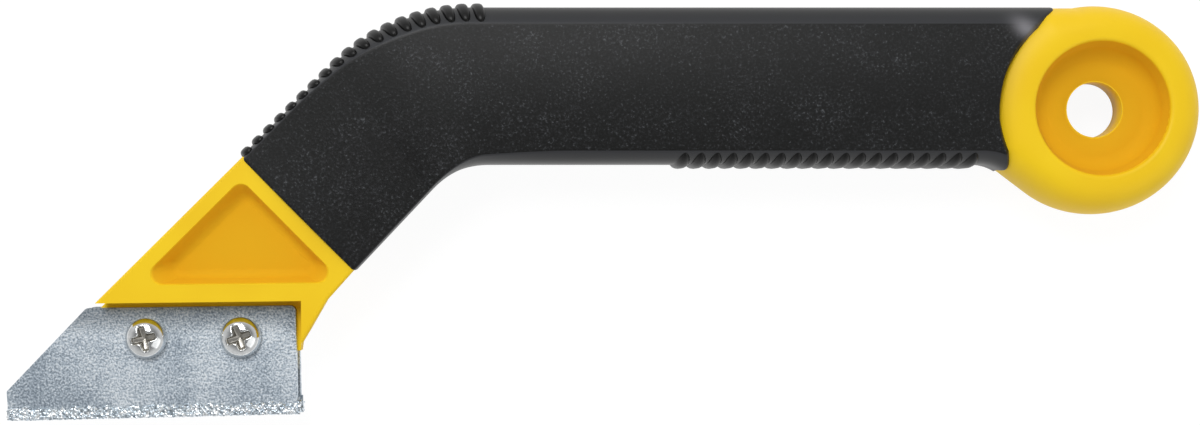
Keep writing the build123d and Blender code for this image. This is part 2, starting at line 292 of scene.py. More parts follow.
def lower_edge(way):
    """Place and outward direction on the grip's lower edge, from where its flare meets the ring."""
    start = (-ring_radius * math.sin(flare_slope), -ring_radius * math.cos(flare_slope))
    place, heading = along_line(way, start, math.pi - flare_slope, lower_pieces)
    return place, np.stack((-np.sin(heading), np.cos(heading)), axis=-1)


# Ways on both edges that face each other: over the ring, where the flare ends, at both ends of the
# bend, and down the neck
facing_upper = np.cumsum([0.0, flare_corner + flare_cut, 0.0, upper_pieces[1][0], neck_run])
facing_upper[2:] += bend_start - facing_upper[1]
facing_lower = np.cumsum([
    0.0, lower_pieces[0][0] + lower_pieces[1][0], lower_pieces[2][0], lower_pieces[3][0],
    neck_run + upper_cut - lower_cut,
])


def ease(value, start, end):
    """Rises smoothly from 0 at the start to 1 at the end."""
    share = np.clip((value - start) / (end - start), 0, 1)
    return share * share * (3 - 2 * share)


def fading(way, form):
    """Size of a form along the upper edge, which falls smoothly by its loss round the bend."""
    size, loss, start, end = form
    return size - loss * ease(way, bend_start + start, bend_end + end)


def grip_form(way):
    """How the section changes along the upper edge: the crown of both edges, the level of the
    crease between edge and face, and the dome of the face. It thins out down the neck."""
    dome = fading(way, face_dome_form)
    level = grip_half_thickness - dome - fading(way, thinning_form)
    return fading(way, upper_crown_form), fading(way, lower_crown_form), level, dome


def edge_heights(count):
    """Shares of the crease's level, from the middle plane up, that space the points of an edge
    evenly along its curve."""
    height = np.linspace(0, 1, 400)
    steps = np.hypot(np.diff(height * crease_level), np.diff(upper_crown_form[0] * height ** 4))
    length = np.concatenate(([0], np.cumsum(steps)))
    return np.interp(np.linspace(0, length[-1], count), length, height)


def grip_section(edge_count, face_count):
    """Closed section of the grip as rows: share of the way from upper to lower edge, height share
    on an edge, masks of the upper edge, the lower edge and the faces, and the side."""
    edge = edge_heights(edge_count)
    across = np.linspace(0, 1, face_count)[1:-1]
    zero, one = np.zeros(edge_count), np.ones(edge_count)
    front = [
        np.concatenate((zero, across, one)),
        np.concatenate((edge, 0 * across + 1, edge[::-1])),
        np.concatenate((one, 0 * across, zero)),
        np.concatenate((zero, 0 * across, one)),
        np.concatenate((zero, 0 * across + 1, zero)),
    ]
    back = [row[::-1][1:-1].copy() for row in front]
    side = np.concatenate((np.ones(front[0].size), -np.ones(back[0].size)))
    return [np.concatenate(pair) for pair in zip(front, back)] + [side]


def grip_surface(way, section, inset=0.0):
    """Points of the grip for ways along its upper edge and places round its section. An edge stands
    out by its crown times one less the fourth power of the height, and the face is an arch that
    falls with the square of the way from its middle."""
    share, height_share, on_upper, on_lower, _, side = section
    inset = inset + 0 * way
    upper_crown, lower_crown, level, dome = grip_form(way)
    facing = np.interp(way, facing_upper, facing_lower)
    upper, upper_way = upper_edge(way)
    lower, lower_way = lower_edge(facing)
    drop_upper = upper_crown * (1 - on_upper * (1 - height_share ** 4)) + inset
    drop_lower = lower_crown * (1 - on_lower * (1 - height_share ** 4)) + inset
    draft = neck_draft * ease(way, bend_start, bend_end)
    drop_lower = drop_lower - draft * side * height_share
    upper = upper - upper_way * drop_upper[..., None]
    lower = lower - lower_way * drop_lower[..., None]
    flat = upper * (1 - share)[..., None] + lower * share[..., None]
    height = height_share * level + dome * (1 - (2 * share - 1) ** 2)
    height = side * height * (1 - inset / grip_half_thickness)
    return np.concatenate((flat, height[..., None]), axis=-1)


def crossing(way, values):
    """Way at which each column of values first turns positive, by a straight line between samples
    of it."""
    first = np.maximum(np.argmax(values > 0, axis=0), 1)
    column = np.arange(values.shape[1])
    low, high = values[first - 1, column], values[first, column]
    return way[first - 1] + (way[first] - way[first - 1]) * (-low) / (high - low)


def grip_ends(section):
    """Ways at which each line along the grip starts at the barrel round the ring and ends at the
    head."""
    way = np.linspace(0, 200, 4001)
    points = grip_surface(way[:, None] + 0 * section[0], [row[None, :] for row in section])
    belly = (grip_half_thickness ** 2 + barrel_belly ** 2) / (2 * barrel_belly)
    barrel = barrel_radius + barrel_belly - belly + np.sqrt(belly ** 2 - points[..., 2] ** 2)
    outside = np.hypot(points[..., 0], points[..., 1]) - barrel
    corner = np.array([-straight_reach, upper_level])
    corner = corner - rubber_reach * np.array([math.cos(bend_angle), math.sin(bend_angle)])
    beyond = (corner[0] - points[..., 0]) * math.cos(rubber_end_slope)
    beyond = beyond + (corner[1] - points[..., 1]) * math.sin(rubber_end_slope)
    return crossing(way, outside), crossing(way, beyond)


def make_grip(material):
    """Rubber sleeve: its section carried from the barrel at the ring to the cut at the head, its
    ends rounded over by a quarter of an ellipse, with an inner wall at an even distance inside,
    joined at both ends."""
    section = grip_section(sleeve_edge_count, sleeve_face_count)
    _, height_share, _, _, on_face, _ = section
    start, end = grip_ends(section)
    length = (end - start)[None, :]
    margin = end_steps[-1]
    first = start + end_steps[:, None] + 0 * length
    last = end - end_steps[::-1, None] + 0 * length
    inside = np.linspace(0, 1, sleeve_rows)[1:-1, None]
    between = (start + margin) + (length - 2 * margin) * inside
    way = np.concatenate((first, between, last))
    rows, columns = way.shape
    from_end = np.minimum(way - start, end - way)
    nearness = np.clip(1 - from_end / end_rounding_reach, 0, 1)
    rounding = end_rounding * (1 - np.sqrt(1 - nearness ** 2))
    table = [row[None, :] for row in section]
    outer = grip_surface(way, table, rounding)
    inner = grip_surface(way, table, rubber_wall)
    points = np.concatenate((outer.reshape(-1, 3), inner.reshape(-1, 3)))
    total = rows * columns
    first = np.arange(columns)
    beside = (first + 1) % columns
    last = (rows - 1) * columns
    end_ring = (beside, first, first + total, beside + total)
    faces = [
        grid_faces(rows, columns, wrap_columns=True),
        grid_faces(rows, columns, wrap_columns=True, offset=total)[:, ::-1],
        np.stack((first, beside, beside + total, first + total), axis=1),
        np.stack(end_ring, axis=1) + last,
    ]
    made = build_mesh("grip_sleeve", in_frame(points), faces)
    textured = np.broadcast_to(on_face, (rows, columns))
    edge = np.broadcast_to(height_share * (1 - on_face), (rows, columns))
    # Mask for a painted highlight: a lighter spot on the face by the ring
    across, up = outer[..., 0] - sheen_place[0], outer[..., 1] - sheen_place[1]
    cosine, sine = sheen_turn
    lengthwise, sideways = across * cosine - up * sine, across * sine + up * cosine
    painted_sheen = -(lengthwise / sheen_half_size[0]) ** 2 - (sideways / sheen_half_size[1]) ** 2
    for name, values in (("textured", textured), ("edge", edge), ("painted_sheen", np.exp(painted_sheen))):
        give_values(made, name, values, values)
    return keep(made, "tool", "grip_rubber", material, "rubber_grip")


def rib_points(place, outward, along, crown, level, shape):
    """One rib: a round bar that follows the edge's curve and narrows towards its ends, where it
    sinks into the surface. Its width falls as the root of one less a power of the height, and its
    shift along the edge is a straight lean plus a hook that grows with the cube of the height."""
    half_width, bluntness, roundness, lean, hook = shape
    reach = rib_reach_share * level
    height = reach * np.sin(np.linspace(-math.pi / 2, math.pi / 2, rib_rows))
    share = height / reach
    swell = np.maximum(np.sqrt(1 - np.abs(share) ** bluntness), rib_least_swell)
    out = -crown * (height / level) ** 4
    steep = 4 * crown * height ** 3 / level ** 4
    slope = np.hypot(steep, 1)
    turn = np.linspace(0, 2 * math.pi, rib_columns, endpoint=False)
    wide = np.sign(np.cos(turn)) * np.abs(np.cos(turn)) ** roundness
    tall = np.sign(np.sin(turn)) * np.abs(np.sin(turn)) ** roundness
    rise = (rib_sunk + rib_height) * swell[:, None] ** 0.5 * tall - rib_sunk
    bar_out = out[:, None] + rise / slope[:, None]
    bar_height = height[:, None] + rise * (steep / slope)[:, None]
    shift = half_width * swell[:, None] * wide + bar_height * lean + hook * (share ** 3)[:, None]
    flat = place + outward * bar_out[..., None] + along * shift[..., None]
    return np.concatenate((flat, bar_height[..., None]), axis=-1)


def make_ribs(material):
    """Both rows of ribs: slim bars from the head round the bend on the upper edge, and broad
    leaf-shaped ones by the ring on the lower."""
    bars = []
    edge_length = bend_end + rubber_reach - upper_cut
    for number in range(rib_count):
        way = np.array(edge_length - upper_rib_margin - number * upper_rib_pitch)
        place, outward = upper_edge(way)
        along = np.array([outward[1], -outward[0]])
        crown, _, level, _ = grip_form(way)
        bars.append(rib_points(place, outward, along, crown, level, upper_rib_shape))
    down, right = np.array([0.0, -1.0]), np.array([1.0, 0.0])
    for number in range(rib_count):
        reach = lower_rib_reach + number * lower_rib_pitch
        _, crown, level, _ = grip_form(np.array(reach))
        place = np.array([-reach, lower_level])
        # These directions mirror the upper row's, so the points round a bar run the other way
        bars.append(rib_points(place, down, right, crown, level, lower_rib_shape)[:, ::-1])
    points, faces = [], []
    for number, bar in enumerate(bars):
        rows, columns = bar.shape[:2]
        offset = number * rows * columns
        points.append(bar.reshape(-1, 3))
        ends = np.array([np.arange(columns)[::-1], (rows - 1) * columns + np.arange(columns)])
        sides = grid_faces(rows, columns, wrap_columns=True, offset=offset)[:, ::-1]
        faces += [sides, ends + offset]
    made = build_mesh("grip_ribs", in_frame(np.concatenate(points)), faces)
    for name in ("textured", "edge", "painted_sheen"):
        give_values(made, name, np.zeros(len(made.data.vertices)))
    return keep(made, "tool", "grip_rubber", material, "rubber_grip")


def ring_reach(angle):
    """How far the yellow end reaches at an angle round the ring: its circle, the straight top that
    runs on into the grip, the slope of the flare below, and a hidden part under the rubber."""
    touch = -math.pi / 2 - flare_slope
    top = upper_level / np.clip(np.sin(angle), 0.2, 1)
    past = np.mod(touch - angle, 2 * math.pi)
    slope = ring_radius / np.clip(np.cos(past), 0.2, 1)
    reach = np.full_like(angle, ring_radius)
    over_top = (angle > math.pi / 2) & (angle < math.pi)
    reach = np.where(over_top, np.clip(top, ring_radius, hidden_reach), reach)
    below = (past > 0) & (past < math.pi / 2)
    reach = np.where(below, np.minimum(slope, hidden_reach), reach)
    return reach


def make_ring(material):
    """Moulded end of the handle: a profile turned about the ring's centre. It runs up the hole's
    wall, over the web, through a rounded corner up the dish's wall, over a soft rim, and out over
    the face, whose level falls as a root of one less a power of the way to the edge. The dish is
    marked for painted shade in its material, less so towards the rim."""
    corner = np.linspace(0, math.pi / 2, 12)[1:]
    floor, wall = dish_web / 2 + skin, dish_radius - skin
    radius = [hole_radius - 0.04, hole_radius - 0.02, hole_radius + hole_bevel[0]]
    level = [0.0, floor - hole_bevel[1], floor]
    foot = wall - dish_draft - dish_corner_radius
    radius += list(foot + dish_corner_radius * np.sin(corner))
    level += list(floor + dish_corner_radius * (1 - np.cos(corner)))
    rim = np.linspace(0, 1, 7)
    rim_hollow = np.array([1.0, 0.6, 0.0, 0.0, 0.0, 0.0, 0.0])
    hollow = np.concatenate((np.zeros(2), np.ones(len(radius) - 2), rim_hollow))
    radius += list(wall + rim_size * rim ** 2)
    level += list(ring_level - rim_size + rim_size * (1 - (1 - rim) ** 2) ** rim_bluntness)
    face_start = radius[-1]
    share = np.sin(np.linspace(0, math.pi / 2, 34))[1:]
    inner = np.array(radius)[:, None]
    angle = np.linspace(0, 2 * math.pi, ring_columns, endpoint=False)
    reach = ring_reach(angle)
    face_radius = face_start + (reach - face_start) * share[:, None]
    face_level = ring_level * np.clip(1 - share ** face_power, 0, 1) ** (1 / face_root)
    plan = np.concatenate((inner + 0 * angle, face_radius))
    level = np.concatenate((np.array(level), face_level))
    hollow = np.concatenate((hollow, np.zeros(len(share))))
    plan = np.concatenate((plan, plan[-2:0:-1]))
    level = np.concatenate((level, -level[-2:0:-1]))[:, None] + 0 * angle
    hollow = np.concatenate((hollow, hollow[-2:0:-1]))[:, None] + 0 * angle
    points = np.stack((plan * np.cos(angle), plan * np.sin(angle), level), axis=-1)
    rows, columns = plan.shape
    faces = [grid_faces(rows, columns, wrap_columns=True, wrap_rows=True)]
    made = build_mesh("ring_end", in_frame(points.reshape(-1, 3)), faces)
    give_values(made, "hollow", hollow)
    made.data.materials.append(material)
    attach(made, "tool")
    return made


def head_to_frame(points):
    """Points in the head's layout, which starts at its toe, as frame points in metres."""
    way = np.array([math.cos(bend_angle), math.sin(bend_angle), 0.0])
    toe = np.array([-straight_reach, upper_level, 0.0]) - neck_reach * way
    cosine, sine = math.cos(blade_tilt), math.sin(blade_tilt)
    turned = np.stack((
        points[..., 0] * cosine - points[..., 1] * sine,
        points[..., 0] * sine + points[..., 1] * cosine,
        points[..., 2],
    ), axis=-1)
    return in_frame(turned + toe)


def grain_field(u, v, u_length, v_length, density, size, seed):
    """Height field of crushed grains: over each place the highest of many small tilted domes."""
    random = np.random.default_rng(seed)
    count = int(u_length * v_length * density)
    centre_u = random.uniform(0, u_length, count)
    centre_v = random.uniform(0, v_length, count)
    top = random.uniform(0.35, 1.0, count)
    tilt_u, tilt_v = random.normal(0, 0.5, (2, count)) / size
    reach = size * random.uniform(0.7, 1.5, count)
    field = np.zeros(u.shape)
    for grain in range(count):
        near = np.abs(u[:, 0] - centre_u[grain]) < 2 * reach[grain]
        rows = np.flatnonzero(near)
        if rows.size == 0:
            continue
        part = slice(rows[0], rows[-1] + 1)
        du, dv = u[part] - centre_u[grain], v[part] - centre_v[grain]
        tilt = 0.35 * (tilt_u[grain] * du + tilt_v[grain] * dv)
        dome = 1 - (du ** 2 + dv ** 2) / reach[grain] ** 2 + tilt
        field[part] = np.maximum(field[part], top[grain] * np.clip(dome, 0, None))
    return np.clip(field, 0, 1)


def make_grit(name, node, side, seed, material):
    """Coat of crushed carbide round the lower edge of one blade: a band that runs down one face,
    round the edge and up the other, its outside raised by grains, its upper borders ragged."""
    heel = seat_length - blade_side_gap
    left = heel - blade_top_length - blade_toe_slant + grit_toe_inset
    right = heel + blade_heel_flare + grit_heel_overlap
    rows, columns = grit_rows, grit_columns
    lap = 2 * grit_height + blade_thickness
    u, v = np.meshgrid(np.linspace(0, 1, rows), np.linspace(0, 1, columns), indexing="ij")
    along, round_way = u * (right - left), v * lap
    random = np.random.default_rng(seed + 50)
    borders = []
    for _ in range(2):
        levels = random.uniform(*border_range, border_count + 1)
        ragged = np.interp(u[:, 0] * border_count, np.arange(border_count + 1), levels)
        borders.append((border_middle - ragged)[:, None])
    fade = np.clip((round_way - borders[0]) / border_fade, 0, 1)
    fade = fade * np.clip((lap - borders[1] - round_way) / border_fade, 0, 1)
    raised = grain_field(along, round_way, right - left, lap, grains_per_area, grain_size, seed)
    coat = fade * (braze_layer + (grit_coat - coat_margin) * raised) + (fade - 1) * border_sink
    front_end, back_start = grit_height, grit_height + blade_thickness
    bottom = grit_edge_lift - blade_top_gap - blade_height - blade_toe_drop * (1 - u)
    edge_share = np.clip((round_way - front_end) / blade_thickness, 0, 1)
    y = np.where(round_way < front_end, bottom + grit_height - round_way, bottom)
    y = np.where(round_way > back_start, bottom + round_way - back_start, y)
    z = blade_half_web + blade_thickness - edge_share * blade_thickness
    turn = np.clip((round_way - front_end + grit_corner) / (2 * grit_corner), 0, 1)
    turn = turn + np.clip((round_way - back_start + grit_corner) / (2 * grit_corner), 0, 1)
    angle = turn * math.pi / 2
    shapes = []
    for depth in (coat, coat * 0 - grit_root):
        out_y = y - depth * np.sin(angle)
        out_z = z + depth * np.cos(angle)
        end_lift = np.clip(depth, 0, None)
        x = left + along + np.where(u == 0, -end_lift, 0) + np.where(u == 1, end_lift, 0)
        shapes.append(np.stack((x, out_y, side * out_z), axis=-1).reshape(-1, 3))
    total = rows * columns
    first = np.arange(columns - 1)
    last = (rows - 1) * columns + first
    top = np.arange(rows - 1) * columns
    end = top + columns - 1
    faces = [
        grid_faces(rows, columns),
        grid_faces(rows, columns, offset=total)[:, ::-1],
        np.stack((first, first + 1, first + 1 + total, first + total), axis=1),
        np.stack((last + 1, last, last + total, last + 1 + total), axis=1),
        np.stack((top + columns, top, top + total, top + columns + total), axis=1),
        np.stack((end, end + columns, end + columns + total, end + total), axis=1),
    ]
    # The front coat isn't mirrored, so its faces are turned to point outwards
    if side > 0:
        faces = [table[:, ::-1] for table in faces]
    made = build_mesh(name, head_to_frame(np.concatenate(shapes)), faces, smooth=False)
    return keep(made, "tool", "carbide_grit", material, node)


def screw_axis(node):
    """Centre line of a screw in frame metres, from its box, and the level of the blade's face."""
    low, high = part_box(node)
    level = (ring_centre[2] + blade_half_web + blade_thickness) / 1000
    return (low.x + high.x) / 2, (low.y + high.y) / 2, level


def soft_step(value, limit, softness):
    """Falls from 1 below a limit to 0 above it, along a logistic curve."""
    return 1 / (1 + np.exp((value - limit) / softness))


def make_screw(name, node, turn, material):
    """Pan head screw. Over the radius and the angle, the head is a flattened dome with a cross
    pressed into it, deepest in the middle; below it the shank is a helix of rounded threads."""
    centre = screw_axis(node)
    angle = np.linspace(0, 2 * math.pi, screw_columns, endpoint=False)
    radius = screw_head_radius * np.sin(np.linspace(0, math.pi / 2, 58)[1:]) ** 0.9
    r, a = np.meshgrid(radius, angle, indexing="ij")
    x, y = r * np.cos(a - turn), r * np.sin(a - turn)
    falling = np.clip(1 - (r / screw_head_radius) ** screw_dome_power, 0, 1)
    dome = screw_head_rim + screw_dome_rise * np.sqrt(falling)
    arms = []
    for long, wide in ((x, y), (y, x)):
        half_width = cross_half_width - cross_taper * np.abs(long)
        side = soft_step(np.abs(wide), half_width, 0.055)
        arms.append(side * soft_step(np.abs(long), cross_reach, 0.09))
    cross = np.maximum(arms[0], arms[1])
    middle = soft_step(r, cross_middle_radius, 0.12) * cross_middle_share
    sunk = np.maximum(cross, middle) * (cross_depth - cross_slope * r)
    top = dome - np.clip(sunk, 0, None)
    head = np.stack((r * np.cos(a), r * np.sin(a), top), axis=-1)
    apex = np.array([[0.0, 0.0, top[0].mean()]])
    rim_radius = np.array([screw_head_radius, screw_head_bevel_radius, screw_radius])
    rim_level = np.array([0.12, 0.0, 0.0])
    rim = np.stack((
        rim_radius[:, None] * np.cos(angle), rim_radius[:, None] * np.sin(angle),
        rim_level[:, None] + 0 * angle,
    ), axis=-1)
    depth = np.linspace(0.05, screw_length - 0.05, 200)
    phase = (depth[:, None] / thread_pitch + angle / (2 * math.pi)) % 1
    crest = screw_radius - 0.02 - thread_depth * np.abs(2 * phase - 1) ** 0.8
    tip = np.clip((screw_length - depth[:, None]) / 0.5, 0.35, 1) ** 0.3
    neck = np.clip((depth[:, None] - 0.1) / 0.6, 0, 1)
    shank_radius = (screw_radius - 0.1) * (1 - neck) + crest * tip * neck
    shank = np.stack((
        shank_radius * np.cos(angle), shank_radius * np.sin(angle),
        -depth[:, None] + 0 * angle,
    ), axis=-1)
    end = np.array([[0.0, 0.0, -screw_length]])
    rings = np.concatenate((head, rim, shank))
    rows, columns = rings.shape[:2]
    points = np.concatenate((rings.reshape(-1, 3), apex, end)) / 1000 + np.array(centre)
    first = np.arange(columns)
    beside = (first + 1) % columns
    last = (rows - 1) * columns
    faces = [
        grid_faces(rows, columns, wrap_columns=True),
        np.stack((first, beside, 0 * first + rows * columns), axis=1),
        np.stack((last + beside, last + first, 0 * first + rows * columns + 1), axis=1),
    ]
    made = build_mesh(name, points, faces)
    pressed = np.zeros(len(points))
    pressed[:sunk.size] = np.clip(sunk.ravel() / pressed_depth, 0, 1)
    pressed[-2] = 1.0
    give_values(made, "pressed", pressed)
    return keep(made, node, "screw_steel", material, node)


# Materials

def colour(code):
    """Linear colour from an sRGB hex value."""
    parts = [int(code[k:k + 2], 16) / 255 for k in (1, 3, 5)]
    return [c / 12.92 if c < 0.04045 else ((c + 0.055) / 1.055) ** 2.4 for c in parts] + [1.0]


# A Mix node names its sockets A, B and Result for numbers and for colours, so they go by number
number_a, number_b, colour_a, colour_b = 2, 3, 6, 7
mixed_number, mixed_colour = 0, 2


def feed(tree, node, sockets):
    """Gives a node's sockets their values, or links them to the outputs that feed them."""
    for name, value in sockets.items():
        if isinstance(value, bpy.types.NodeSocket):
            tree.links.new(value, node.inputs[name])
        else:
            node.inputs[name].default_value = value


def add(tree, kind, sockets=None, stops=None, **settings):
    """Adds a node with its own settings, its sockets and, on a ramp, its colour stops."""
    made = tree.nodes.new(kind)
    for name, value in settings.items():
        setattr(made, name, value)
    feed(tree, made, sockets or {})
    if stops:
        while len(made.color_ramp.elements) < len(stops):
            made.color_ramp.elements.new(1.0)
        for element, (place, shade) in zip(made.color_ramp.elements, stops):
            element.position = place
            element.color = shade
    return made


def grey(value):
    """An even linear grey."""
    return [value, value, value, 1.0]


def clear_tree(owner):
    """The node tree of a material or a world, emptied."""
    owner.use_nodes = True
    owner.node_tree.nodes.clear()
    return owner.node_tree


def new_material(name):
    """A material with its node tree, its shader and the place on the piece, in metres."""
    made = bpy.data.materials.new(name)
    tree = clear_tree(made)
    shader = add(tree, "ShaderNodeBsdfPrincipled")
    add(tree, "ShaderNodeOutputMaterial", {"Surface": shader.outputs["BSDF"]})
    place = add(tree, "ShaderNodeTexCoord").outputs["Object"]
    return made, tree, shader, place


def in_recess(tree, place):
    """1 where a place lies between the upright planes of the head's triangular recess and below its
    rim, else 0, with a blur of 0.4 mm. Each plane is a point on it and its outward direction."""
    along = np.array([math.cos(seat_angle), math.sin(seat_angle), 0.0])
    across = np.array([math.sin(seat_angle), -math.cos(seat_angle), 0.0])
    down = np.array([0.0, -1.0, 0.0])
    planes = (
        (across * recess_edge_wall, -across), (along * (head_length - recess_neck_wall), along),
        (-down * recess_seat_wall, down),
    )
    origin = head_to_frame(np.zeros(3))
    beyond = []
    for point, outward in planes:
        outward = (head_to_frame(outward) - origin) * 1000
        level = float(head_to_frame(point) @ outward)
        way = add(tree, "ShaderNodeVectorMath", {
            0: place, 1: list(outward),
        }, operation="DOT_PRODUCT")
        past = add(tree, "ShaderNodeMath", {
            0: way.outputs["Value"], 1: level,
        }, operation="SUBTRACT")
        beyond.append(past.outputs[0])
    height = add(tree, "ShaderNodeSeparateXYZ", {"Vector": place}).outputs["Z"]
    above = add(tree, "ShaderNodeMath", {0: height, 1: float(origin[2])}, operation="SUBTRACT")
    level = add(tree, "ShaderNodeMath", {0: above.outputs[0]}, operation="ABSOLUTE")
    rim = (head_half_thickness - recess_rim_drop) / 1000
    below = add(tree, "ShaderNodeMath", {0: level.outputs[0], 1: rim}, operation="SUBTRACT")
    past = below.outputs[0]
    for other in beyond:
        past = add(tree, "ShaderNodeMath", {0: past, 1: other}, operation="MAXIMUM").outputs[0]
    return add(tree, "ShaderNodeMapRange", {
        "Value": past, "From Min": 0.0, "From Max": 0.0004, "To Min": 1.0, "To Max": 0.0,
    }).outputs["Result"]


def moulded_yellow():
    """Injection-moulded ABS: even and satin, with faint flow marks and a light orange peel. Its
    hollows are quite matt, and painted shade makes them a darker, more orange yellow."""
    made, tree, shader, place = new_material("moulded_yellow_abs")
    # Flow marks about 17 mm across
    flow = add(tree, "ShaderNodeTexNoise", {"Vector": place, "Scale": 60.0, "Detail": 2.0})
    shade = add(tree, "ShaderNodeValToRGB", {"Fac": flow.outputs["Fac"]}, [
        (0.3, colour("#edc208")), (0.7, colour("#f2cb0f")),
    ])
    # Painted shade: the ring's dish and the head's recess are coloured a darker, more orange yellow
    ring_hollow = add(tree, "ShaderNodeAttribute", attribute_name="hollow").outputs["Fac"]
    hollow = add(tree, "ShaderNodeMath", {
        0: ring_hollow, 1: in_recess(tree, place),
    }, operation="MAXIMUM")
    mixed = add(tree, "ShaderNodeMix", {
        "Factor": hollow.outputs[0], colour_a: shade.outputs["Color"], colour_b: colour("#e4ac0c"),
    }, data_type="RGBA")
    rough = add(tree, "ShaderNodeMapRange", {
        "Value": hollow.outputs[0], "To Min": 0.5, "To Max": 0.85,
    })
    # Orange peel about 0.6 mm across
    peel = add(tree, "ShaderNodeTexNoise", {"Vector": place, "Scale": 1700.0, "Detail": 1.0})
    bump = add(tree, "ShaderNodeBump", {
        "Height": peel.outputs["Fac"], "Strength": 0.04, "Distance": 0.0002,
    })
    feed(tree, shader, {
        "Base Color": mixed.outputs[mixed_colour], "Roughness": rough.outputs["Result"],
        "Normal": bump.outputs["Normal"], "IOR": 1.5, "Specular IOR Level": 0.32,
    })
    return made


def spark_rubber():
    """Soft thermoplastic rubber from a spark-eroded mould: fine grain on the faces, its palest
    flecks painted glints; painted highlight in a band beside the faces, painted shade down the
    edges, and a painted highlight spot by the ring."""
    made, tree, shader, place = new_material("spark_textured_rubber")
    mask, edge, painted_sheen = (
        add(tree, "ShaderNodeAttribute", attribute_name=name).outputs["Fac"]
        for name in ("textured", "edge", "painted_sheen")
    )
    # Grain about 0.5 mm across, a little coarser than the real one so that it shows, over patches
    # of about 8 mm
    grain = add(tree, "ShaderNodeTexNoise", {
        "Vector": place, "Scale": 2000.0, "Detail": 3.0, "Roughness": 0.7,
    })
    patch = add(tree, "ShaderNodeTexNoise", {"Vector": place, "Scale": 130.0, "Detail": 2.0})
    mottle = add(tree, "ShaderNodeMix", {
        "Factor": 0.15, number_a: grain.outputs["Fac"], number_b: patch.outputs["Fac"],
    })
    strength = add(tree, "ShaderNodeMapRange", {"Value": mask, "To Min": 0.03, "To Max": 0.3})
    bump = add(tree, "ShaderNodeBump", {
        "Height": grain.outputs["Fac"], "Strength": strength.outputs["Result"], "Distance": 0.00015,
    })
    # Painted glints: the top of the ramp gives the grain a few pale flecks
    face = add(tree, "ShaderNodeValToRGB", {"Fac": mottle.outputs[mixed_number]}, [
        (0.36, colour("#010202")), (0.5, colour("#0a0b0b")), (0.6, colour("#1e1f21")),
        (0.72, colour("#55585b")),
    ])
    # Painted highlight and shade on the edges: dark at the middle plane, lighter towards the
    # crease; the ribs take the darkest colour
    side = add(tree, "ShaderNodeValToRGB", {"Fac": edge}, [
        (0.0, colour("#030303")), (0.6, colour("#060606")), (0.8, colour("#222324")),
        (1.0, colour("#313235")),
    ])
    both = add(tree, "ShaderNodeMix", {
        "Factor": mask, colour_a: side.outputs["Color"], colour_b: face.outputs["Color"],
    }, data_type="RGBA")
    # Painted highlight: the face is lighter in a spot by the ring
    sheen_spot = add(tree, "ShaderNodeMix", {
        "Factor": painted_sheen, colour_a: both.outputs[mixed_colour], colour_b: colour("#77767a"),
    }, data_type="RGBA")
    rough = add(tree, "ShaderNodeMapRange", {"Value": mask, "To Min": 0.4, "To Max": 0.52})
    feed(tree, shader, {
        "Base Color": sheen_spot.outputs[mixed_colour], "Roughness": rough.outputs["Result"],
        "Normal": bump.outputs["Normal"], "Specular IOR Level": 0.3,
    })
    return made


def zinc_steel():
    """Stamped steel, tumbled and zinc plated: a grey metal broken into small light and dark
    flecks."""
    made, tree, shader, place = new_material("tumbled_zinc_steel")
    # Flecks about 0.4 mm across over patches of about 8 mm
    fleck = add(tree, "ShaderNodeTexNoise", {
        "Vector": place, "Scale": 2500.0, "Detail": 2.0, "Roughness": 0.6,
    })
    patch = add(tree, "ShaderNodeTexNoise", {"Vector": place, "Scale": 120.0, "Detail": 3.0})
    both = add(tree, "ShaderNodeMix", {
        "Factor": 0.3, number_a: fleck.outputs["Fac"], number_b: patch.outputs["Fac"],
    })
    shade = add(tree, "ShaderNodeValToRGB", {"Fac": both.outputs[mixed_number]}, [
        (0.38, colour("#8d99a6")), (0.5, colour("#c2ced9")), (0.62, colour("#f2f8fd")),
    ])
    # Painted shade by the holder's wall: the colour darkens from 6 mm to 1 mm below the blade's top
    # edge
    axes = add(tree, "ShaderNodeSeparateXYZ", {"Vector": place})
    tilted = add(tree, "ShaderNodeMath", {
        0: axes.outputs["X"], 1: -math.tan(blade_tilt),
    }, operation="MULTIPLY")
    level = add(tree, "ShaderNodeMath", {
        0: axes.outputs["Y"], 1: tilted.outputs[0],
    }, operation="ADD")
    top_level = head_to_frame(np.array([seat_length, -blade_top_gap, 0.0]))
    top_level = float(top_level[1] - top_level[0] * math.tan(blade_tilt))
    muted = add(tree, "ShaderNodeMapRange", {
        "Value": level.outputs[0], "From Min": top_level - 0.006, "From Max": top_level - 0.001,
        "To Min": 1.0, "To Max": 0.55,
    }, interpolation_type="SMOOTHSTEP")
    toned = add(tree, "ShaderNodeMix", {
        "Factor": 1.0, colour_a: shade.outputs["Color"], colour_b: muted.outputs["Result"],
    }, data_type="RGBA", blend_type="MULTIPLY")
    bump = add(tree, "ShaderNodeBump", {
        "Height": fleck.outputs["Fac"], "Strength": 0.28, "Distance": 0.0002,
    })
    feed(tree, shader, {
        "Base Color": toned.outputs[mixed_colour], "Normal": bump.outputs["Normal"],
        "Metallic": 1.0, "Roughness": 0.5,
    })
    return made


def brazed_grit():
    """Crushed tungsten carbide brazed on in a bright nickel alloy: sharp grains, white and steel
    blue."""
    made, tree, shader, place = new_material("brazed_carbide_grit")
    # Grains about 0.5 mm across
    grain = add(tree, "ShaderNodeTexVoronoi", {"Vector": place, "Scale": 1900.0})
    shade = add(tree, "ShaderNodeValToRGB", {"Fac": grain.outputs["Color"]}, [
        (0.15, colour("#a5b1bb")), (0.5, colour("#dae4ec")), (0.85, colour("#fafdff")),
    ])
    feed(tree, shader, {"Base Color": shade.outputs["Color"], "Metallic": 1.0, "Roughness": 0.28})
    return made


